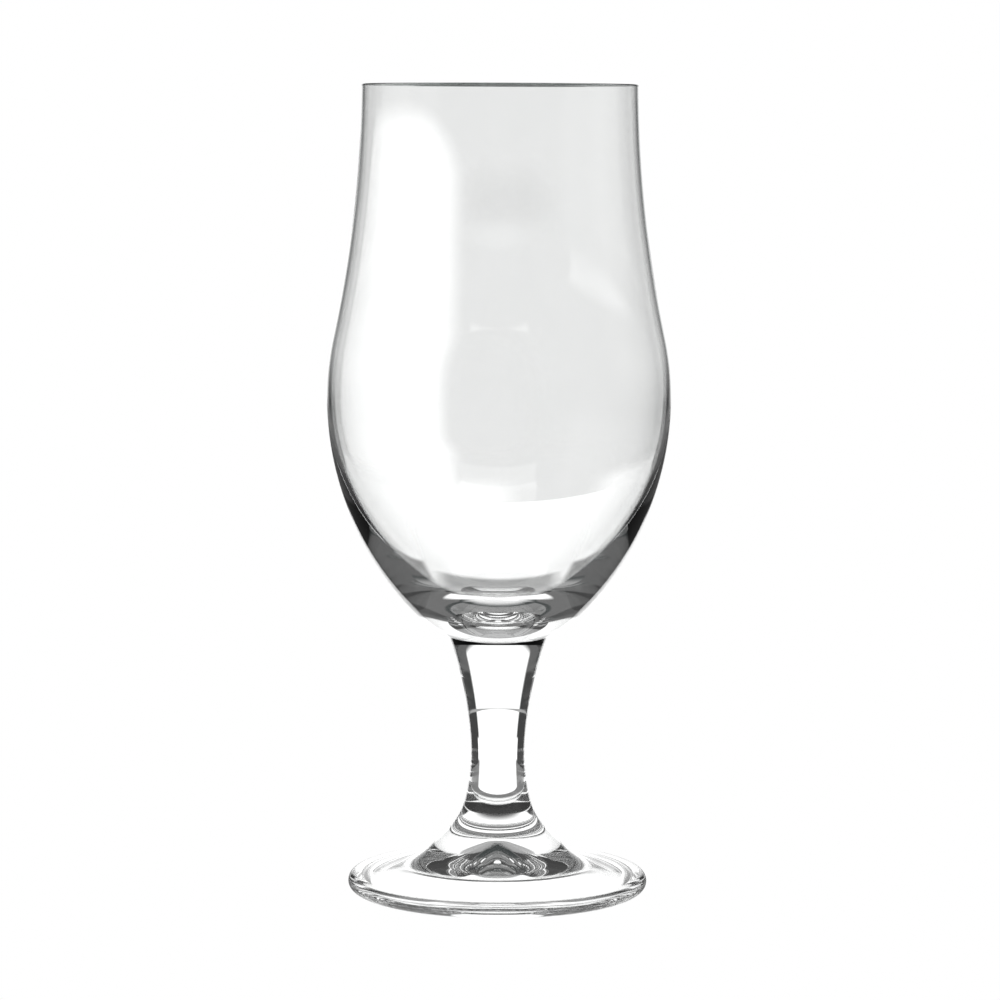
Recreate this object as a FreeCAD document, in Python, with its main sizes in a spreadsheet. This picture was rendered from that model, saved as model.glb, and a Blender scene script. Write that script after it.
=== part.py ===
"""Stemmed beer glass: a tulip bowl on a solid stem and a round foot.

Three pieces of clear glass, fused to one another while hot, all round about the Z axis.
Millimetres, +Z up, origin on the surface that the foot stands on, at the centre of the foot.
"""
import FreeCAD, Part
import math
import os
import Sketcher

# Driving dimensions: name, value, meaning. Each rise is above the bottom of its own piece.
SIZES = (
    ("bowl_height", 135.0, "joint with the stem to the lip"),
    ("rim_diameter", 67.2, "outside of the lip"),
    ("rim_wall", 1.1, "wall at the lip"),
    ("shoulder_rise", 73.5, "where the belly turns into the hollow neck of the bowl"),
    ("belly_diameter", 84.2, "widest outside of the bowl"),
    ("belly_rise", 59.0, "the widest place"),
    ("belly_wall", 1.1, "wall at the widest place"),
    ("upper_belly_radius", 68.5, "outside curve from belly to shoulder"),
    ("lower_belly_radius", 76.5, "outside curve under the belly"),
    ("base_turn_rise", 9.0, "where the outside turns in towards the stem"),
    ("heel_rise", 15.7, "where the inner wall turns into the floor"),
    ("heel_wall", 6.1, "wall there, measured level"),
    ("stem_length", 40.0, "joint with the foot to joint with the bowl"),
    ("stem_top_diameter", 24.0, "joint of stem and bowl"),
    ("taper_rise", 15.0, "where the waist of the stem turns into its taper"),
    ("waist_rise", 11.3, "narrowest place of the stem"),
    ("waist_diameter", 13.2, "narrowest place of the stem"),
    ("upper_waist_radius", 48.0, "curve just above the waist"),
    ("lower_waist_radius", 50.0, "curve from the waist to the foot"),
    ("foot_height", 23.0, "surface under the foot to joint with the stem"),
    ("flare_radius", 18.0, "hollow curve from the stem to the cone of the foot"),
    ("cone_angle", 45.0, "fall of the cone, degrees"),
    ("root_radius", 12.0, "where the cone runs out into the plate"),
    ("plate_angle", 9.0, "fall of the plate to its edge, degrees"),
    ("foot_diameter", 73.8, "outside of the plate"),
    ("foot_edge", 4.4, "thickness of its rounded edge"),
    ("standing_ring", 1.7, "width of the flat ring that the glass stands on"),
    ("ring_curve_radius", 6.0, "curve that leads up from that ring into the hollow of the foot"),
    ("ring_curve_rise", 1.5, "where that curve turns into the slope of the hollow"),
    ("hollow_angle", 15.0, "rise of the slope towards the middle, degrees"),
    ("crown_radius", 9.0, "round top of the hollow"),
)
LIP_ROUNDING = 0.45        # of the wall at the rim: the lip is melted round

doc = FreeCAD.newDocument("BeerGlass")
sheet = doc.addObject("Spreadsheet::Sheet", "Sizes")
for row, (name, value, meaning) in enumerate(SIZES, start=1):
    sheet.set(f"A{row}", str(value))
    sheet.setAlias(f"A{row}", name)
    sheet.set(f"B{row}", meaning)
doc.recompute()

# Corners that pieces or outlines share, as formulas: out from the axis, up from the piece's bottom.
RIM = ("Sizes.rim_diameter / 2", "Sizes.bowl_height")
RIM_INSIDE = ("Sizes.rim_diameter / 2 - Sizes.rim_wall", "Sizes.bowl_height")
BELLY = ("Sizes.belly_diameter / 2", "Sizes.belly_rise")
BELLY_INSIDE = ("Sizes.belly_diameter / 2 - Sizes.belly_wall", "Sizes.belly_rise")
STEM_TOP_RADIUS = "Sizes.stem_top_diameter / 2"
WAIST = ("Sizes.waist_diameter / 2", "Sizes.waist_rise")
LOWER_WAIST_OUT = "Sizes.waist_diameter / 2 + Sizes.lower_waist_radius"
EDGE_OUT = "Sizes.foot_diameter / 2 - Sizes.foot_edge / 2"
EDGE_UP = "Sizes.foot_edge / 2"
HOLLOW_RADIUS = EDGE_OUT + " - Sizes.standing_ring"


def number(formula):
    """What a formula of the sheet comes to."""
    return float(sheet.evalExpression(formula))


def point(out, up):
    return (number(out), number(up))


# Where arcs meet: the places that the sketch solver starts from.

def on_circle(centre, radius, height, side=1):
    """Point of a circle at a height, on its right or, with side -1, on its left."""
    return (centre[0] + side * math.sqrt(radius ** 2 - (height - centre[1]) ** 2), height)


def at_angle(centre, radius, angle):
    return (centre[0] + radius * math.cos(angle), centre[1] + radius * math.sin(angle))


def tangent_centre(touch, centre, end):
    """Centre of the arc that is tangent to a circle at one of its points and reaches end."""
    size = math.dist(touch, centre)
    normal = ((touch[0] - centre[0]) / size, (touch[1] - centre[1]) / size)
    chord = (end[0] - touch[0], end[1] - touch[1])
    reach = math.hypot(*chord) ** 2 / (2 * (chord[0] * normal[0] + chord[1] * normal[1]))
    return (touch[0] + reach * normal[0], touch[1] + reach * normal[1])


class Outline:
    """Closed half profile in a body's XZ plane. Each line or arc starts where the last one ended.

    A corner is a piece of the outline and which end of it. Constraints hold the outline: tangents
    where it is smooth, and sizes that are bound to the sheet.
    """
    CENTRE = 3
    AXIS = -2

    def __init__(self, body, name, start):
        self.sketch = body.newObject("Sketcher::SketchObject", name)
        planes = {item.Role: item for item in body.Origin.OriginFeatures}
        self.sketch.AttachmentSupport = [(planes["XZ_Plane"], "")]
        self.sketch.MapMode = "FlatFace"
        self.start = start
        self.at = start
        self.first = None
        self.last = None

    def rule(self, *words):
        return self.sketch.addConstraint(Sketcher.Constraint(*words))

    def join(self, piece, begins, ends, smooth):
        if self.last:
            self.rule("Tangent" if smooth else "Coincident", *self.last, piece, begins)
        else:
            self.first = (piece, begins)
        self.last = (piece, ends)
        return self.last

    def add_arc(self, centre, begin, end, guide):
        """The shorter arc. Sketches keep arcs turning left, so its stored ends may be swapped."""
        begin_angle = math.atan2(begin[1] - centre[1], begin[0] - centre[0])
        end_angle = math.atan2(end[1] - centre[1], end[0] - centre[0])
        turns_left = math.sin(end_angle - begin_angle) > 0
        low, high = (begin_angle, end_angle) if turns_left else (end_angle, begin_angle)
        middle = FreeCAD.Vector(*centre, 0)
        circle = Part.Circle(middle, FreeCAD.Vector(0, 0, 1), math.dist(centre, begin))
        piece = self.sketch.addGeometry(Part.ArcOfCircle(circle, low, high), guide)
        begins, ends = (1, 2) if turns_left else (2, 1)
        return piece, begins, ends

    def line_to(self, end, smooth=False):
        ends = FreeCAD.Vector(*self.at, 0), FreeCAD.Vector(*end, 0)
        piece = self.sketch.addGeometry(Part.LineSegment(*ends), False)
        self.at = end
        return self.join(piece, 1, 2, smooth)

    def arc_to(self, end, centre, smooth=False):
        piece, begins, ends = self.add_arc(centre, self.at, end, False)
        self.at = end
        return self.join(piece, begins, ends, smooth)

    def guide_arc(self, begin, end, centre):
        """An arc that only guides others. Returns both its corners."""
        piece, begins, ends = self.add_arc(centre, begin, end, True)
        return (piece, begins), (piece, ends)

    def other_end(self, corner):
        """The corner at the other end of the same line or arc: its ends are numbered 1 and 2."""
        return corner[0], 3 - corner[1]

    def close(self):
        """Back to the start, straight along the axis."""
        corner = self.line_to(self.start)
        self.rule("Coincident", *corner, *self.first)
        self.rule("PointOnObject", corner[0], 1, self.AXIS)
        self.rule("PointOnObject", corner[0], 2, self.AXIS)
        return self.sketch

    def bind(self, constraint, formula):
        self.sketch.setExpression(f"Constraints[{constraint}]", formula)

    def place(self, corner, out=None, up=None):
        """Distances of a corner to the axis and to the bottom of the piece."""
        if out:
            self.bind(self.rule("DistanceX", -1, 1, *corner, number(out)), out)
        if up:
            self.bind(self.rule("DistanceY", -1, 1, *corner, number(up)), up)

    def place_centre(self, corner, out=None, up=None):
        self.place((corner[0], self.CENTRE), out, up)

    def centre_on_axis(self, corner):
        self.rule("PointOnObject", corner[0], self.CENTRE, self.AXIS)

    def radius(self, corner, formula):
        self.bind(self.rule("Radius", corner[0], number(formula)), formula)

    def fall(self, corner, formula):
        """Angle between a line that falls to the right and the level."""
        angle = self.rule("Angle", corner[0], -math.radians(number(formula)))
        self.bind(angle, f"-{formula} * 1 deg")

    def level(self, corner):
        self.rule("Horizontal", corner[0])

    def upright_at(self, corner):
        """An arc is upright at a corner: its centre lies level with it."""
        self.rule("Horizontal", *corner, corner[0], self.CENTRE)


def turn(body, kind, name, sketch):
    """A Revolution or Groove of a sketch, all round the axis."""
    feature = body.newObject("PartDesign::" + kind, name)
    feature.Profile = sketch
    feature.ReferenceAxis = (sketch, ["V_Axis"])
    feature.Angle = 360.0
    return feature


def make_body(name, rise=None):
    """A piece's body, and how far its bottom lies above the surface, as a formula."""
    body = doc.addObject("PartDesign::Body", name)
    body.Label = name
    if rise:
        body.setExpression("Placement.Base.z", rise)
    return body


# Bowl: a solid of the outside, hollowed, with the lip melted round.

def bowl_outside(body):
    joint = (number(STEM_TOP_RADIUS), 0.0)
    belly = point(*BELLY)
    rim = point(*RIM)
    lower_radius = number("Sizes.lower_belly_radius")
    upper_radius = number("Sizes.upper_belly_radius")
    lower_centre = (belly[0] - lower_radius, belly[1])
    upper_centre = (belly[0] - upper_radius, belly[1])
    base_turn = on_circle(lower_centre, lower_radius, number("Sizes.base_turn_rise"))
    shoulder = on_circle(upper_centre, upper_radius, number("Sizes.shoulder_rise"))

    outline = Outline(body, "BowlOutside", (0.0, 0.0))
    at_joint = outline.line_to(joint)
    at_turn = outline.arc_to(base_turn, tangent_centre(base_turn, lower_centre, joint))
    at_belly = outline.arc_to(belly, lower_centre, smooth=True)
    at_shoulder = outline.arc_to(shoulder, upper_centre, smooth=True)
    at_rim = outline.arc_to(rim, tangent_centre(shoulder, upper_centre, rim), smooth=True)
    across_top = outline.line_to((0.0, rim[1]))
    sketch = outline.close()

    outline.level(at_joint)
    outline.place(at_joint, out=STEM_TOP_RADIUS)
    outline.rule("PointOnObject", *at_joint, -1)
    outline.place(at_turn, up="Sizes.base_turn_rise")
    outline.place(at_belly, *BELLY)
    outline.upright_at(at_belly)
    outline.radius(at_belly, "Sizes.lower_belly_radius")
    outline.radius(at_shoulder, "Sizes.upper_belly_radius")
    outline.place(at_shoulder, up="Sizes.shoulder_rise")
    outline.place(at_rim, *RIM)
    outline.level(across_top)
    return sketch


def bowl_inside(body):
    """The inside follows the neck and the belly. Under the belly the wall grows to the heel, from
    where one arc, level on the axis, makes the floor."""
    belly = point(*BELLY_INSIDE)
    rim = point(*RIM_INSIDE)
    outer_radius = number("Sizes.lower_belly_radius")
    outer_centre = (number(BELLY[0]) - outer_radius, belly[1])
    outer_heel = on_circle(outer_centre, outer_radius, number("Sizes.heel_rise"))
    heel = (outer_heel[0] - number("Sizes.heel_wall"), outer_heel[1])
    wall_radius = math.dist(heel, belly) ** 2 / (2 * (belly[0] - heel[0]))
    wall_centre = (belly[0] - wall_radius, belly[1])
    floor_share = heel[0] / (heel[0] - wall_centre[0])
    floor_centre = (0.0, heel[1] + floor_share * (wall_centre[1] - heel[1]))
    floor = (0.0, floor_centre[1] - floor_share * wall_radius)
    upper_radius = number("Sizes.upper_belly_radius - Sizes.belly_wall")
    upper_centre = (belly[0] - upper_radius, belly[1])
    shoulder = on_circle(upper_centre, upper_radius, number("Sizes.shoulder_rise"))

    outline = Outline(body, "BowlInside", floor)
    at_heel = outline.arc_to(heel, floor_centre)
    at_belly = outline.arc_to(belly, wall_centre, smooth=True)
    at_shoulder = outline.arc_to(shoulder, upper_centre, smooth=True)
    at_rim = outline.arc_to(rim, tangent_centre(shoulder, upper_centre, rim), smooth=True)
    across_top = outline.line_to((0.0, rim[1]))
    sketch = outline.close()

    outer_heel_corner, outer_belly_corner = outline.guide_arc(outer_heel, point(*BELLY), outer_centre)
    outline.place(outer_belly_corner, *BELLY)
    outline.upright_at(outer_belly_corner)
    outline.radius(outer_belly_corner, "Sizes.lower_belly_radius")
    outline.place(outer_heel_corner, up="Sizes.heel_rise")
    outline.rule("Horizontal", *at_heel, *outer_heel_corner)
    wall = outline.rule("DistanceX", *at_heel, *outer_heel_corner, number("Sizes.heel_wall"))
    outline.bind(wall, "Sizes.heel_wall")
    outline.centre_on_axis(at_heel)
    outline.place(at_belly, *BELLY_INSIDE)
    outline.upright_at(at_belly)
    outline.radius(at_shoulder, "Sizes.upper_belly_radius - Sizes.belly_wall")
    outline.place(at_shoulder, up="Sizes.shoulder_rise")
    outline.place(at_rim, *RIM_INSIDE)
    outline.level(across_top)
    return sketch


def make_bowl():
    body = make_body("bowl", "Sizes.foot_height + Sizes.stem_length")
    turn(body, "Revolution", "BowlSolid", bowl_outside(body))
    cavity = turn(body, "Groove", "BowlCavity", bowl_inside(body))
    doc.recompute()
    top = number("Sizes.bowl_height")
    rim_edges = [f"Edge{index}" for index, edge in enumerate(cavity.Shape.Edges, start=1)
                 if edge.Closed and abs(edge.CenterOfMass.z - top) < 1e-6]
    lip = body.newObject("PartDesign::Fillet", "Lip")
    lip.Base = (cavity, rim_edges)
    lip.Radius = number("Sizes.rim_wall") * LIP_ROUNDING
    lip.setExpression("Radius", f"Sizes.rim_wall * {LIP_ROUNDING}")
    return body


# Stem: solid, drawn in to a waist low down, with a long taper up to the bowl.

def stem_outline(body):
    waist = point(*WAIST)
    top = point(STEM_TOP_RADIUS, "Sizes.stem_length")
    lower_radius = number("Sizes.lower_waist_radius")
    upper_radius = number("Sizes.upper_waist_radius")
    lower_centre = (waist[0] + lower_radius, waist[1])
    upper_centre = (waist[0] + upper_radius, waist[1])
    bottom = on_circle(lower_centre, lower_radius, 0.0, side=-1)
    taper = on_circle(upper_centre, upper_radius, number("Sizes.taper_rise"), side=-1)

    outline = Outline(body, "StemOutline", (0.0, 0.0))
    at_bottom = outline.line_to(bottom)
    at_waist = outline.arc_to(waist, lower_centre)
    at_taper = outline.arc_to(taper, upper_centre, smooth=True)
    at_top = outline.arc_to(top, tangent_centre(taper, upper_centre, top), smooth=True)
    across_top = outline.line_to((0.0, top[1]))
    sketch = outline.close()

    outline.level(at_bottom)
    outline.rule("PointOnObject", *at_bottom, -1)
    outline.place(at_waist, *WAIST)
    outline.upright_at(at_waist)
    outline.radius(at_waist, "Sizes.lower_waist_radius")
    outline.radius(at_taper, "Sizes.upper_waist_radius")
    outline.place(at_taper, up="Sizes.taper_rise")
    outline.place(at_top, STEM_TOP_RADIUS, "Sizes.stem_length")
    outline.level(across_top)
    return sketch


def make_stem():
    body = make_body("stem", "Sizes.foot_height")
    turn(body, "Revolution", "StemSolid", stem_outline(body))
    return body


# Foot: the stem's lowest curve flares into a cone, which runs out into a round plate.

def foot_outline(body):
    height = number("Sizes.foot_height")
    waist = (number(WAIST[0]), height + number(WAIST[1]))
    guide_centre = (number(LOWER_WAIST_OUT), waist[1])
    guide_radius = number("Sizes.lower_waist_radius")
    joint = on_circle(guide_centre, guide_radius, height, side=-1)
    flare_radius = number("Sizes.flare_radius")
    flare_share = flare_radius / guide_radius
    flare_centre = tuple(j + flare_share * (g - j) for j, g in zip(joint, guide_centre))
    cone_fall = math.radians(number("Sizes.cone_angle"))
    plate_fall = math.radians(number("Sizes.plate_angle"))
    cone_top = at_angle(flare_centre, flare_radius, math.radians(-90) - cone_fall)
    edge_radius = number(EDGE_UP)
    edge_centre = (number(EDGE_OUT), edge_radius)
    plate_end = at_angle(edge_centre, edge_radius, math.radians(90) - plate_fall)
    drop = cone_top[1] - plate_end[1] - (plate_end[0] - cone_top[0]) * math.tan(plate_fall)
    run = drop / (math.tan(cone_fall) - math.tan(plate_fall))
    crossing = (cone_top[0] + run, cone_top[1] - run * math.tan(cone_fall))
    root_radius = number("Sizes.root_radius")
    root_reach = root_radius * math.tan((cone_fall - plate_fall) / 2)
    root_top = (crossing[0] - root_reach * math.cos(cone_fall),
                crossing[1] + root_reach * math.sin(cone_fall))
    root_end = (crossing[0] + root_reach * math.cos(plate_fall),
                crossing[1] - root_reach * math.sin(plate_fall))
    root_centre = (root_top[0] + root_radius * math.sin(cone_fall),
                   root_top[1] + root_radius * math.cos(cone_fall))

    outline = Outline(body, "FootOutline", (0.0, height))
    at_joint = outline.line_to(joint)
    at_cone = outline.arc_to(cone_top, flare_centre)
    at_root = outline.line_to(root_top, smooth=True)
    at_plate = outline.arc_to(root_end, root_centre, smooth=True)
    at_edge = outline.line_to(plate_end, smooth=True)
    at_ground = outline.arc_to((edge_centre[0], 0.0), edge_centre, smooth=True)
    across_bottom = outline.line_to((0.0, 0.0), smooth=True)
    sketch = outline.close()

    guide_joint, guide_waist = outline.guide_arc(joint, waist, guide_centre)
    outline.place_centre(guide_waist, LOWER_WAIST_OUT, "Sizes.foot_height + Sizes.waist_rise")
    outline.radius(guide_waist, "Sizes.lower_waist_radius")
    outline.upright_at(guide_waist)
    outline.rule("Tangent", *guide_joint, *outline.other_end(at_cone))
    outline.level(at_joint)
    outline.place(at_joint, up="Sizes.foot_height")
    outline.radius(at_cone, "Sizes.flare_radius")
    outline.fall(at_root, "Sizes.cone_angle")
    outline.radius(at_plate, "Sizes.root_radius")
    outline.fall(at_edge, "Sizes.plate_angle")
    outline.radius(at_ground, EDGE_UP)
    outline.place_centre(at_ground, out=EDGE_OUT)
    outline.rule("PointOnObject", *at_ground, -1)
    outline.level(across_bottom)
    return sketch


def foot_hollow(body):
    """Under the foot, inside the ring that it stands on: a low cone with a round crown."""
    rim = (number(HOLLOW_RADIUS), 0.0)
    slope = math.radians(number("Sizes.hollow_angle"))
    curve_radius = number("Sizes.ring_curve_radius")
    curve_top = number("Sizes.ring_curve_rise")
    curve_low = curve_top - curve_radius * math.cos(slope)
    curve_centre = (rim[0] - math.sqrt(curve_radius ** 2 - curve_low ** 2), curve_low)
    slope_end = at_angle(curve_centre, curve_radius, math.radians(90) - slope)
    crown_radius = number("Sizes.crown_radius")
    tip = slope_end[1] + slope_end[0] * math.tan(slope)
    crown_centre = (0.0, tip - crown_radius / math.cos(slope))
    slope_top = at_angle(crown_centre, crown_radius, math.radians(90) - slope)

    outline = Outline(body, "FootHollow", (0.0, crown_centre[1] + crown_radius))
    at_slope = outline.arc_to(slope_top, crown_centre)
    at_curve = outline.line_to(slope_end, smooth=True)
    at_rim = outline.arc_to(rim, curve_centre, smooth=True)
    across_bottom = outline.line_to((0.0, 0.0))
    sketch = outline.close()

    outline.centre_on_axis(at_slope)
    outline.radius(at_slope, "Sizes.crown_radius")
    outline.fall(at_curve, "Sizes.hollow_angle")
    outline.place(at_curve, up="Sizes.ring_curve_rise")
    outline.radius(at_rim, "Sizes.ring_curve_radius")
    outline.rule("PointOnObject", *at_rim, -1)
    outline.place(at_rim, out=HOLLOW_RADIUS)
    outline.level(across_bottom)
    return sketch


def make_foot():
    body = make_body("foot")
    turn(body, "Revolution", "FootSolid", foot_outline(body))
    turn(body, "Groove", "FootUnderside", foot_hollow(body))
    return body


pieces = (make_bowl(), make_stem(), make_foot())
doc.recompute()

for item in doc.Objects:
    if "Invalid" in item.State or "Error" in item.State:
        raise RuntimeError(f"{item.Label} did not compute: {item.State}")
os.makedirs("parts", exist_ok=True)
for body in pieces:
    if body.Shape.isNull() or not body.Shape.isValid() or len(body.Shape.Solids) != 1:
        raise RuntimeError(f"{body.Label} is not one sound solid")
    body.Shape.exportStep(f"parts/{body.Label}.step")
    box = body.Shape.optimalBoundingBox(False, False)
    print(f"{body.Label}: {body.Shape.Volume / 1000:.1f} ml of glass, "
          f"{box.XLength:.2f} wide, {box.ZMin:.2f} to {box.ZMax:.2f} high")
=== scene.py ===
"""Clear stemmed beer glass in a bright studio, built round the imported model. Metres, +Z up."""

import math

import bpy
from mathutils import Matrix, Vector


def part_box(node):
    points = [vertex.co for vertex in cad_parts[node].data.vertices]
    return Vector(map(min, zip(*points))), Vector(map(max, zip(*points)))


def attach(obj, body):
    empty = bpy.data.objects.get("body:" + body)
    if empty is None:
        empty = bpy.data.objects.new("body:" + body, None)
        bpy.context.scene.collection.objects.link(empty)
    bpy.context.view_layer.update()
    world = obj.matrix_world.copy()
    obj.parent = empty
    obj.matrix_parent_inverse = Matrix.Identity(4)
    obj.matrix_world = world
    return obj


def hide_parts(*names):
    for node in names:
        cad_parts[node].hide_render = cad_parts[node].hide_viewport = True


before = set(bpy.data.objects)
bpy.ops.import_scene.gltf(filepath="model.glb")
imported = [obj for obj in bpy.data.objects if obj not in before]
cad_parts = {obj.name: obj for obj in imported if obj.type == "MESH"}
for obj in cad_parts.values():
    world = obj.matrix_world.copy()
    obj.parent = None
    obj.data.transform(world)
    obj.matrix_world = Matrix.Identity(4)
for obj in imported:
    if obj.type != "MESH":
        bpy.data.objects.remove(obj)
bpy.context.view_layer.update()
MM = 0.001

# What the frame gives: heights of the joints and the rim, and outside radii.
STEM_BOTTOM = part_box("stem")[0].z
STEM_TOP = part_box("stem")[1].z
RIM_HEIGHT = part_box("bowl")[1].z
BELLY_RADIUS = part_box("bowl")[1].x
FOOT_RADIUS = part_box("foot")[1].x
STEM_TOP_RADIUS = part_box("stem")[1].x


# Outlines: points of a half section, out from the axis and up.

def on_circle(centre, radius, height, side=1):
    """Point of a circle at a height, on its right or, with side -1, on its left."""
    return (centre[0] + side * math.sqrt(radius ** 2 - (height - centre[1]) ** 2), height)


def at_angle(centre, radius, degrees):
    angle = math.radians(degrees)
    return (centre[0] + radius * math.cos(angle), centre[1] + radius * math.sin(angle))


def tangent_centre(touch, centre, end):
    """Centre of the arc that is tangent to a circle at one of its points and reaches end."""
    size = math.dist(touch, centre)
    normal = ((touch[0] - centre[0]) / size, (touch[1] - centre[1]) / size)
    chord = (end[0] - touch[0], end[1] - touch[1])
    reach = math.hypot(*chord) ** 2 / (2 * (chord[0] * normal[0] + chord[1] * normal[1]))
    return (touch[0] + reach * normal[0], touch[1] + reach * normal[1])


GLASS, LIP, SEAM = 0, 1, 2    # which of a piece's three materials a part of its outline has
LONGEST_STEP = 0.8 * MM
WIDEST_TURN = math.radians(4)


class Outline:
    """A half section that runs anticlockwise: out from the axis, up, and back in to the axis.

    Each step keeps the true normal at both its ends, so that the lathed skin shades as the smooth
    surface would.
    """

    def __init__(self, start):
        self.points = [start]
        self.steps = []

    def add(self, point, normals, slot):
        self.points.append(point)
        self.steps.append((normals, slot))

    def line_to(self, end, slot=GLASS):
        start = self.points[-1]
        length = math.dist(start, end)
        normal = ((end[1] - start[1]) / length, (start[0] - end[0]) / length)
        count = max(1, math.ceil(length / LONGEST_STEP))
        for i in range(1, count + 1):
            share = i / count
            point = (start[0] + share * (end[0] - start[0]), start[1] + share * (end[1] - start[1]))
            self.add(point, (normal, normal), slot)

    def arc_to(self, end, centre, slot=GLASS):
        start = self.points[-1]
        radius = math.dist(centre, start)
        begin = math.atan2(start[1] - centre[1], start[0] - centre[0])
        turn = math.atan2(end[1] - centre[1], end[0] - centre[0]) - begin
        turn = (turn + math.pi) % (2 * math.pi) - math.pi
        facing = 1 if turn > 0 else -1
        count = max(2, math.ceil(abs(turn) * radius / LONGEST_STEP), math.ceil(abs(turn) / WIDEST_TURN))
        before = (facing * math.cos(begin), facing * math.sin(begin))
        for i in range(1, count + 1):
            angle = begin + turn * i / count
            point = end if i == count else (centre[0] + radius * math.cos(angle),
                                            centre[1] + radius * math.sin(angle))
            after = (facing * math.cos(angle), facing * math.sin(angle))
            self.add(point, (before, after), slot)
            before = after


def lathe(name, outline, around, materials):
    """Turns an outline about the Z axis, in so many steps around, into a closed skin."""
    vertices = []
    rings = []
    for out, up in outline.points:
        count = 1 if out < 1e-9 else around
        rings.append((len(vertices), count))
        for j in range(count):
            angle = 2 * math.pi * j / around
            vertices.append((out * math.cos(angle), out * math.sin(angle), up))
    faces, slots, normals = [], [], []

    def spin(normal, j):
        angle = 2 * math.pi * j / around
        return (normal[0] * math.cos(angle), normal[0] * math.sin(angle), normal[1])

    for i, ((low, high), slot) in enumerate(outline.steps):
        (a, a_count), (b, b_count) = rings[i], rings[i + 1]
        for j in range(around):
            k = j + 1
            corners = [(a + j % a_count, low, j), (a + k % a_count, low, k),
                       (b + k % b_count, high, k), (b + j % b_count, high, j)]
            if a_count == 1:
                del corners[1]
            elif b_count == 1:
                del corners[2]
            faces.append([corner[0] for corner in corners])
            normals += [spin(corner[1], corner[2]) for corner in corners]
            slots.append(slot)
    mesh = bpy.data.meshes.new(name)
    mesh.from_pydata(vertices, [], faces)
    for material in materials:
        mesh.materials.append(material)
    mesh.polygons.foreach_set("material_index", slots)
    mesh.polygons.foreach_set("use_smooth", [True] * len(faces))
    mesh.normals_split_custom_set(normals)
    piece = bpy.data.objects.new(name, mesh)
    bpy.context.scene.collection.objects.link(piece)
    return piece


# Bowl.

def bowl_outline():
    rim_radius = 33.6 * MM
    rim_wall = 1.1 * MM
    lip_rounding = 0.45
    belly_wall = 1.1 * MM
    lower_radius = 76.5 * MM
    upper_radius = 68.5 * MM
    heel_wall = 6.1 * MM
    base_turn_height = STEM_TOP + 9 * MM
    heel_height = STEM_TOP + 15.7 * MM
    belly_height = STEM_TOP + 59 * MM
    shoulder_height = STEM_TOP + 73.5 * MM

    rim = (rim_radius, RIM_HEIGHT)
    lip = rim_wall * lip_rounding
    belly = (BELLY_RADIUS, belly_height)
    lower_centre = (belly[0] - lower_radius, belly[1])
    upper_centre = (belly[0] - upper_radius, belly[1])
    base_turn = on_circle(lower_centre, lower_radius, base_turn_height)
    shoulder = on_circle(upper_centre, upper_radius, shoulder_height)
    joint = (STEM_TOP_RADIUS, STEM_TOP)
    neck_centre = tangent_centre(shoulder, upper_centre, rim)
    neck_radius = math.dist(neck_centre, rim)

    inner_belly = (belly[0] - belly_wall, belly[1])
    inner_radius = upper_radius - belly_wall
    inner_shoulder = on_circle(upper_centre, inner_radius, shoulder_height)
    inner_rim = (rim[0] - rim_wall, rim[1])
    inner_neck_centre = tangent_centre(inner_shoulder, upper_centre, inner_rim)
    inner_neck_radius = math.dist(inner_neck_centre, inner_rim)
    heel = (on_circle(lower_centre, lower_radius, heel_height)[0] - heel_wall, heel_height)
    wall_radius = math.dist(heel, inner_belly) ** 2 / (2 * (inner_belly[0] - heel[0]))
    wall_centre = (inner_belly[0] - wall_radius, inner_belly[1])
    floor_share = heel[0] / (heel[0] - wall_centre[0])
    floor_centre = (0.0, heel[1] + floor_share * (wall_centre[1] - heel[1]))
    floor = (0.0, floor_centre[1] - floor_share * wall_radius)

    # The lip: a quarter turn from the wall to the top, outside and inside.
    lip_height = rim[1] - lip
    outer_lip_centre = (neck_centre[0] - math.sqrt((neck_radius + lip) ** 2
                                                   - (lip_height - neck_centre[1]) ** 2), lip_height)
    outer_lip = tuple(c + (n - c) * lip / (neck_radius + lip)
                      for c, n in zip(outer_lip_centre, neck_centre))
    inner_lip_centre = (inner_neck_centre[0] - math.sqrt((inner_neck_radius - lip) ** 2
                        - (lip_height - inner_neck_centre[1]) ** 2), lip_height)
    inner_lip = tuple(c - (n - c) * lip / (inner_neck_radius - lip)
                      for c, n in zip(inner_lip_centre, inner_neck_centre))

    outline = Outline((0.0, STEM_TOP))
    outline.line_to(joint, SEAM)
    outline.arc_to(base_turn, tangent_centre(base_turn, lower_centre, joint))
    outline.arc_to(belly, lower_centre)
    outline.arc_to(shoulder, upper_centre)
    outline.arc_to(outer_lip, neck_centre)
    outline.arc_to((outer_lip_centre[0], rim[1]), outer_lip_centre, LIP)
    outline.line_to((inner_lip_centre[0], rim[1]), LIP)
    outline.arc_to(inner_lip, inner_lip_centre, LIP)
    outline.arc_to(inner_shoulder, inner_neck_centre)
    outline.arc_to(inner_belly, upper_centre)
    outline.arc_to(heel, wall_centre)
    outline.arc_to(floor, floor_centre)
    return outline


# Stem.

WAIST_RADIUS = 6.6 * MM
WAIST_HEIGHT = STEM_BOTTOM + 11.3 * MM
WAIST = (WAIST_RADIUS, WAIST_HEIGHT)
LOWER_WAIST_RADIUS = 50 * MM
LOWER_WAIST_CENTRE = (WAIST[0] + LOWER_WAIST_RADIUS, WAIST[1])
STEM_BOTTOM_CORNER = on_circle(LOWER_WAIST_CENTRE, LOWER_WAIST_RADIUS, STEM_BOTTOM, side=-1)


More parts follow.
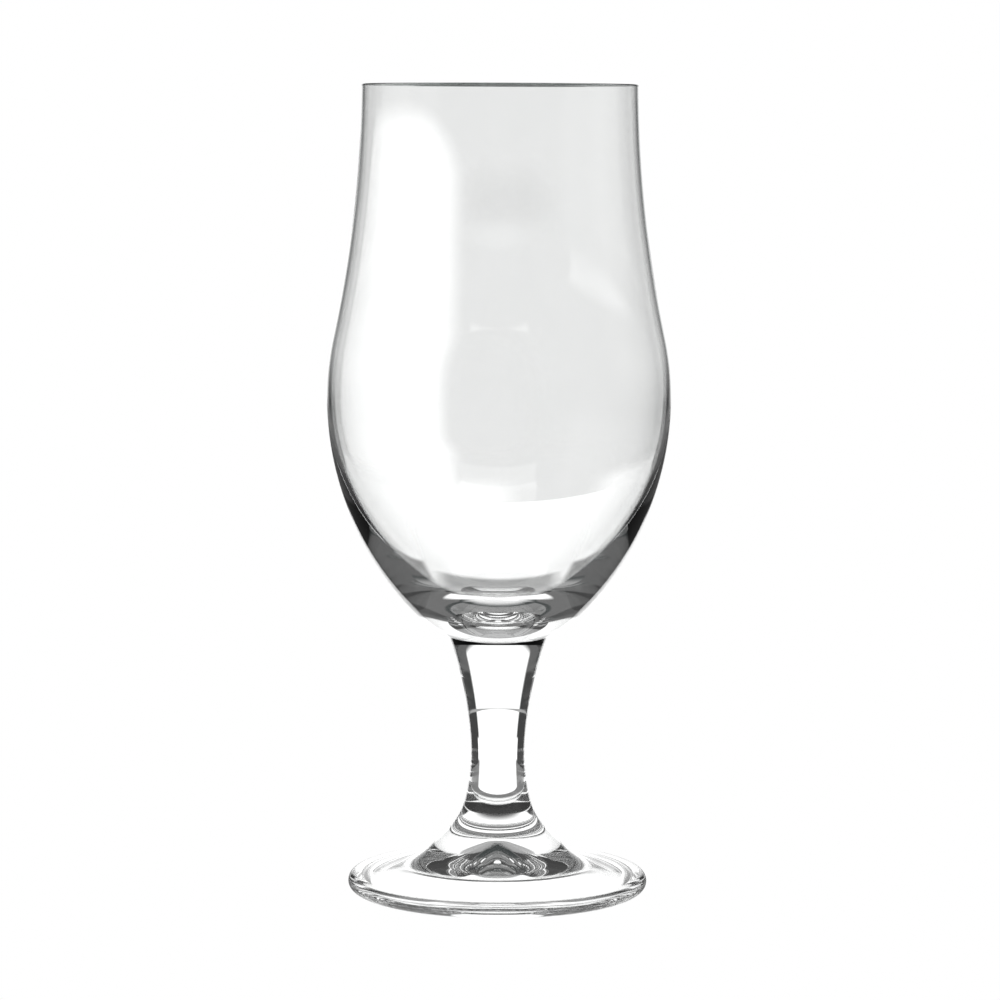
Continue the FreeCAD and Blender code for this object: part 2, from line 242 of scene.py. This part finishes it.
def stem_outline():
    upper_radius = 48 * MM
    taper_height = STEM_BOTTOM + 15 * MM
    upper_centre = (WAIST[0] + upper_radius, WAIST[1])
    taper = on_circle(upper_centre, upper_radius, taper_height, side=-1)
    top = (STEM_TOP_RADIUS, STEM_TOP)
    outline = Outline((0.0, STEM_BOTTOM))
    outline.line_to(STEM_BOTTOM_CORNER, SEAM)
    outline.arc_to(WAIST, LOWER_WAIST_CENTRE)
    outline.arc_to(taper, upper_centre)
    outline.arc_to(top, tangent_centre(taper, upper_centre, top))
    outline.line_to((0.0, STEM_TOP), SEAM)
    return outline


# Foot.

def foot_outline():
    flare_radius = 18 * MM
    root_radius = 12 * MM
    cone_angle = 45.0
    plate_angle = 9.0
    edge_radius = 2.2 * MM
    ring_width = 1.7 * MM
    curve_radius = 6.0 * MM
    curve_top = 1.5 * MM
    hollow_angle = 15.0
    crown_radius = 9.0 * MM
    cone_slope = math.tan(math.radians(cone_angle))
    plate_slope = math.tan(math.radians(plate_angle))
    joint = STEM_BOTTOM_CORNER
    share = flare_radius / LOWER_WAIST_RADIUS
    flare_centre = tuple(j + share * (c - j) for j, c in zip(joint, LOWER_WAIST_CENTRE))
    cone_top = at_angle(flare_centre, flare_radius, -90 - cone_angle)
    edge_centre = (FOOT_RADIUS - edge_radius, edge_radius)
    plate_end = at_angle(edge_centre, edge_radius, 90 - plate_angle)
    drop = cone_top[1] - plate_end[1] - (plate_end[0] - cone_top[0]) * plate_slope
    run = drop / (cone_slope - plate_slope)
    crossing = (cone_top[0] + run, cone_top[1] - run * cone_slope)
    reach = root_radius * math.tan(math.radians(cone_angle - plate_angle) / 2)
    root_end = at_angle(crossing, reach, -plate_angle)
    root_top = at_angle(crossing, reach, 180 - cone_angle)
    root_centre = at_angle(root_end, root_radius, 90 - plate_angle)
    hollow_out = edge_centre[0] - ring_width
    slope = math.radians(hollow_angle)
    curve_low = curve_top - curve_radius * math.cos(slope)
    curve_centre = (hollow_out - math.sqrt(curve_radius ** 2 - curve_low ** 2), curve_low)
    slope_end = at_angle(curve_centre, curve_radius, 90 - hollow_angle)
    tip = slope_end[1] + slope_end[0] * math.tan(slope)
    crown_centre = (0.0, tip - crown_radius / math.cos(slope))

    outline = Outline((0.0, crown_centre[1] + crown_radius))
    outline.arc_to(at_angle(crown_centre, crown_radius, 90 - hollow_angle), crown_centre)
    outline.line_to(slope_end)
    outline.arc_to((hollow_out, 0.0), curve_centre)
    outline.line_to((edge_centre[0], 0.0))
    outline.arc_to(plate_end, edge_centre)
    outline.line_to(root_end)
    outline.arc_to(root_top, root_centre)
    outline.line_to(cone_top)
    outline.arc_to(joint, flare_centre)
    outline.line_to((0.0, STEM_BOTTOM), SEAM)
    return outline


# Materials.

GLASS_IOR = 1.52
CLEAR_TINT = (0.972, 0.976, 0.974)
LIP_PAINTED_SHADE = (0.20, 0.215, 0.21)    # painted shade: grey, for the dark line that the round lip shows; the real lip is clear glass
TINT_POWER = 1.3                  # how much deeper the tint is in places
TINT_SCALE = 90.0
POLISH_SCALE = 300.0
DULLEST = 0.012
WAVE_SCALE = 65.0
WAVE_HEIGHT = 0.02 * MM


def noise(tree, scale, detail):
    """Noise in the piece's own space, so many of its waves to the metre."""
    place = tree.nodes.new("ShaderNodeTexCoord")
    node = tree.nodes.new("ShaderNodeTexNoise")
    tree.links.new(place.outputs["Object"], node.inputs["Vector"])
    node.inputs["Scale"].default_value = scale
    node.inputs["Detail"].default_value = detail
    return node.outputs["Fac"]


def spread(tree, value, low, high):
    """Noise, which stays near 0.5, stretched to run from low to high."""
    node = tree.nodes.new("ShaderNodeMapRange")
    tree.links.new(value, node.inputs["Value"])
    node.inputs["From Min"].default_value = 0.3
    node.inputs["From Max"].default_value = 0.7
    node.inputs["To Min"].default_value = low
    node.inputs["To Max"].default_value = high
    return node.outputs["Result"]


def glass_material(name, tint_and_painted_shade):
    """Fire-polished glass: faint waves 15 mm long, and a polish that is duller here and there. Its colour
    is the glass's own tint, or, on the lip, a painted grey shade.
    """
    material = bpy.data.materials.new(name)
    material.use_nodes = True
    tree = material.node_tree
    shader = tree.nodes["Principled BSDF"]
    shader.inputs["Transmission Weight"].default_value = 1.0
    shader.inputs["IOR"].default_value = GLASS_IOR
    colour = tree.nodes.new("ShaderNodeMixRGB")
    tree.links.new(spread(tree, noise(tree, TINT_SCALE, 2.0), 0.0, 1.0), colour.inputs[0])
    colour.inputs[1].default_value = (*tint_and_painted_shade, 1.0)
    colour.inputs[2].default_value = (*(channel ** TINT_POWER for channel in tint_and_painted_shade), 1.0)
    tree.links.new(colour.outputs[0], shader.inputs["Base Color"])
    dullness = spread(tree, noise(tree, POLISH_SCALE, 3.0), 0.0, DULLEST)
    tree.links.new(dullness, shader.inputs["Roughness"])
    waves = tree.nodes.new("ShaderNodeBump")
    tree.links.new(noise(tree, WAVE_SCALE, 0.0), waves.inputs["Height"])
    waves.inputs["Distance"].default_value = WAVE_HEIGHT
    tree.links.new(waves.outputs[0], shader.inputs["Normal"])
    return material


def seam_material():
    """Where two fused pieces meet there is no surface, and nothing shows."""
    material = bpy.data.materials.new("fused_seam")
    material.use_nodes = True
    material.node_tree.nodes["Principled BSDF"].inputs["Alpha"].default_value = 0.0
    return material


BOWL_STEPS = 224          # keeps the skin of the bowl under 200,000 triangles
STEPS = 384

# The lip's glass is painted grey: painted shade for the dark line that the round lip shows; the real lip
# is clear.
skins = [glass_material("clear_glass_polished", CLEAR_TINT),
         glass_material("lip_glass_painted_grey", LIP_PAINTED_SHADE), seam_material()]
for node, outline, around in (("bowl", bowl_outline(), BOWL_STEPS), ("stem", stem_outline(), STEPS),
                              ("foot", foot_outline(), STEPS)):
    piece = lathe("glass_" + node, outline, around, skins)
    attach(piece, "root")
    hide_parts(node)


# Camera: at the photograph's place, 0.89 m in front of the glass and a little under its rim.

SENSOR_MM = 36.0
LENS_MM = 130.75
CAMERA_DISTANCE = 0.8858
CAMERA_HEIGHT = 0.1891
LOOKS_DOWN = math.radians(5.958)
LEANS = math.radians(-0.205)

camera_data = bpy.data.cameras.new("camera")
camera_data.sensor_width = SENSOR_MM
camera_data.lens = LENS_MM
camera = bpy.data.objects.new("camera", camera_data)
bpy.context.scene.collection.objects.link(camera)
bpy.context.scene.camera = camera
camera.location = (0.0, -CAMERA_DISTANCE, CAMERA_HEIGHT)
camera.rotation_mode = "XYZ"
camera.rotation_euler = (math.radians(90) - LOOKS_DOWN, LEANS, 0.0)


# Studio: the camera sees a plain white floor and backdrop. The glass sees soft cards and a table.

DARK_FLOOR = 0.04
DARK = (0.045, 0.052, 0.052)


def math_node(tree, operation, *values):
    """A sum of numbers or other nodes' outputs."""
    node = tree.nodes.new("ShaderNodeMath")
    node.operation = operation
    for socket, value in zip(node.inputs, values):
        if isinstance(value, (int, float)):
            socket.default_value = value
        else:
            tree.links.new(value, socket)
    return node.outputs[0]


def fade(tree, value, full, none):
    """1 where value is at full, 0 at none, smooth between."""
    node = tree.nodes.new("ShaderNodeMapRange")
    node.interpolation_type = "SMOOTHSTEP"
    tree.links.new(value, node.inputs["Value"])
    node.inputs["From Min"].default_value = none
    node.inputs["From Max"].default_value = full
    node.inputs["To Min"].default_value = 0.0
    node.inputs["To Max"].default_value = 1.0
    return node.outputs["Result"]


def glow_material(name, strength):
    """Even white light."""
    material = bpy.data.materials.new(name)
    material.use_nodes = True
    tree = material.node_tree
    tree.nodes.clear()
    glow = tree.nodes.new("ShaderNodeEmission")
    glow.inputs["Strength"].default_value = strength
    out = tree.nodes.new("ShaderNodeOutputMaterial")
    tree.links.new(glow.outputs[0], out.inputs["Surface"])
    return material


def card_material(name, strength, half_width, half_height, softness, rounding):
    """A light or dark card with round corners, that thins out to nothing at its edges."""
    material = glow_material(name, strength)
    tree = material.node_tree
    place = tree.nodes.new("ShaderNodeTexCoord")
    split = tree.nodes.new("ShaderNodeSeparateXYZ")
    tree.links.new(place.outputs["Object"], split.inputs[0])
    beyond = []
    for axis, half in (("X", half_width), ("Y", half_height)):
        from_middle = math_node(tree, "ABSOLUTE", split.outputs[axis])
        distance = math_node(tree, "SUBTRACT", from_middle, half - rounding)
        beyond.append(math_node(tree, "POWER", math_node(tree, "MAXIMUM", distance, 0.0), 2.0))
    distance = math_node(tree, "SQRT", math_node(tree, "ADD", *beyond))
    clear = tree.nodes.new("ShaderNodeBsdfTransparent")
    both = tree.nodes.new("ShaderNodeMixShader")
    tree.links.new(fade(tree, distance, rounding - softness, rounding), both.inputs[0])
    tree.links.new(clear.outputs[0], both.inputs[1])
    tree.links.new(tree.nodes["Emission"].outputs[0], both.inputs[2])
    tree.links.new(both.outputs[0], tree.nodes["Material Output"].inputs["Surface"])
    return material


def distance_node(tree, middle_y, narrowing):
    """How far a point of the table is from (0, middle_y), with distances along X made smaller."""
    place = tree.nodes.new("ShaderNodeTexCoord")
    split = tree.nodes.new("ShaderNodeSeparateXYZ")
    tree.links.new(place.outputs["Object"], split.inputs[0])
    across = math_node(tree, "POWER", math_node(tree, "MULTIPLY", split.outputs["X"], narrowing), 2.0)
    along = math_node(tree, "POWER", math_node(tree, "SUBTRACT", split.outputs["Y"], middle_y), 2.0)
    return math_node(tree, "SQRT", math_node(tree, "ADD", across, along))


def table_material(strength):
    """White, with a painted shadow of the foot (a dark spot behind the middle of the foot), painted grey
    shade in a ring round it, dark far away.
    """
    # The spot is the foot's shadow and the ring is shade round the glass, both painted into the table's
    # light.
    painted_shadow_middle, painted_shadow_inside, painted_shadow_outside = 9 * MM, 10 * MM, 14 * MM
    painted_shadow_narrowing = 0.5
    ring_starts, ring_full, ring_thins, ring_ends = 34 * MM, 38 * MM, 130 * MM, 150 * MM
    painted_ring_shade = 0.85
    thins, ends = 450 * MM, 600 * MM
    material = glow_material("lit_table", strength)
    tree = material.node_tree
    painted_shadow = distance_node(tree, painted_shadow_middle, painted_shadow_narrowing)
    away = distance_node(tree, 0.0, 1.0)
    lit = math_node(tree, "MULTIPLY", fade(tree, painted_shadow, painted_shadow_outside, painted_shadow_inside),
                    fade(tree, away, thins, ends))
    ring = math_node(tree, "MULTIPLY", fade(tree, away, ring_full, ring_starts),
                     fade(tree, away, ring_thins, ring_ends))
    beside_ring = math_node(tree, "MULTIPLY_ADD", ring, -painted_ring_shade, 1.0)
    level = math_node(tree, "MULTIPLY", lit, beside_ring)
    level = math_node(tree, "MULTIPLY_ADD", level, strength, DARK_FLOOR)
    tree.links.new(level, tree.nodes["Emission"].inputs["Strength"])
    return material


def panel(name, width, height, material):
    """A flat piece of the stage, level until it is turned."""
    mesh = bpy.data.meshes.new(name)
    w, h = width / 2, height / 2
    mesh.from_pydata([(-w, -h, 0), (w, -h, 0), (w, h, 0), (-w, h, 0)], [], [(0, 1, 2, 3)])
    mesh.materials.append(material)
    item = bpy.data.objects.new(name, mesh)
    bpy.context.scene.collection.objects.link(item)
    return item


def only_for_camera(item):
    item.visible_diffuse = item.visible_glossy = item.visible_transmission = False
    item.visible_volume_scatter = item.visible_shadow = False


def only_for_glass(item):
    item.visible_camera = False


def carried(item):
    """The camera takes the item along to any other view; its place is given for the main one."""
    item.parent = camera
    item.matrix_parent_inverse = camera.matrix_basis.inverted()


def card(name, facing, centre, width, bottom, top, softness, strength, rounding=0.0):
    """An upright card that only the glass sees. Its centre is given from above, x and y."""
    material = card_material(name + "_card", strength, width / 2, (top - bottom) / 2, softness,
                             max(softness, rounding))
    item = panel(name, width, top - bottom, material)
    item.location = (*centre, (bottom + top) / 2)
    item.rotation_mode = "QUATERNION"
    item.rotation_quaternion = Vector(facing).to_track_quat("Z", "Y")
    carried(item)
    only_for_glass(item)


def shelf(name, width, near, far, softness, strength):
    """A flat card that only the glass sees. Its near and far edges are given from the side, y and z."""
    rise = math.atan2(far[1] - near[1], far[0] - near[0])
    depth = math.dist(near, far)
    material = card_material(name + "_card", strength, width / 2, depth / 2, softness, softness)
    item = panel(name, width, depth, material)
    item.location = (0, (near[0] + far[0]) / 2, (near[1] + far[1]) / 2)
    item.rotation_euler = (rise, 0, 0)
    carried(item)
    only_for_glass(item)


WHITE = 1.0
TABLE_LIGHT = 1.3

backdrop = panel("backdrop", 8.0, 6.0, glow_material("backdrop_white", WHITE))
backdrop.location = (0, 4.0, 0)
backdrop.rotation_euler = (math.radians(90), 0, 0)
carried(backdrop)
only_for_camera(backdrop)
floor = panel("floor", 12.0, 12.0, glow_material("floor_white", WHITE))
floor.location = (0, 0, -0.4 * MM)
only_for_camera(floor)
table = panel("lit_table", 8.0, 8.0, table_material(TABLE_LIGHT))
table.location = (0, 0, -0.2 * MM)
only_for_glass(table)

TO_FRONT, TO_BACK, TO_RIGHT, TO_LEFT = (0, -1, 0), (0, 1, 0), (1, 0, 0), (-1, 0, 0)

# Behind the glass: what shows through the bowl, the long highlight at its left, and the stem's core.
card("back_light", TO_FRONT, (0, 0.45), width=0.44, bottom=-0.15, top=0.33, softness=0.12, strength=1.0)
card("bright_left", TO_FRONT, (-0.061, 0.44), width=0.094, bottom=-0.15, top=0.196, softness=0.012,
     strength=1.35, rounding=0.03)
card("bright_back", TO_FRONT, (0, 0.43), width=0.30, bottom=-0.15, top=0.027, softness=0.02, strength=1.3)
card("grey_patch", TO_FRONT, (0.0036, 0.442), width=0.050, bottom=0.143, top=0.177, softness=0.017,
     strength=0.93)
card("grey_round", TO_FRONT, (-0.0045, 0.426), width=0.050, bottom=0.038, top=0.120, softness=0.012,
     strength=1.0, rounding=0.024)
card("grey_lobe", TO_FRONT, (0.0285, 0.425), width=0.072, bottom=-0.04, top=0.06, softness=0.022,
     strength=1.0, rounding=0.034)
card("stem_light", TO_FRONT, (0, 0.05), width=0.058, bottom=-0.03, top=0.077, softness=0.004, strength=1.3)
shelf("heel_shelf", width=0.05, near=(0.0105, 0.0455), far=(0.05, 0.0455), softness=0.008, strength=0.45)

# In front: dark, for the edge of the foot. Above: a weak light.
card("front_flag", TO_BACK, (0, -0.2), width=0.8, bottom=-0.05, top=0.10, softness=0.03, strength=0.04)
shelf("top_light", width=1.2, near=(-0.4, 0.6), far=(0.9, 0.6), softness=0.1, strength=0.25)

# On both sides, from the foot up: dark edges of the stem, grey ones of the heel, lighter ones above.
for side, facing, name in ((-1, TO_RIGHT, "left"), (1, TO_LEFT, "right")):
    card(name + "_flag", facing, (side * 0.07, -0.023), width=0.256, bottom=-0.05, top=0.08,
         softness=0.003, strength=0.06)
    card(name + "_grey", facing, (side * 0.075, 0.02), width=0.30, bottom=0.06, top=0.115,
         softness=0.01, strength=0.15)
    card(name + "_fill", facing, (side * 0.08, 0.03), width=0.16, bottom=0.11, top=0.28,
         softness=0.03, strength=0.42)

world = bpy.data.worlds.new("studio_dark")
bpy.context.scene.world = world
world.use_nodes = True
world.node_tree.nodes["Background"].inputs["Color"].default_value = (*DARK, 1.0)
world.node_tree.nodes["Background"].inputs["Strength"].default_value = 1.0

scene = bpy.context.scene
scene.view_settings.view_transform = "Standard"
scene.view_settings.look = "None"
scene.cycles.max_bounces = 32       # light goes to and fro inside the glass many times
scene.cycles.transmission_bounces = 32
scene.cycles.glossy_bounces = 16
scene.cycles.transparent_max_bounces = 32
scene.cycles.caustics_reflective = True
scene.cycles.caustics_refractive = True
scene.cycles.use_denoising = True
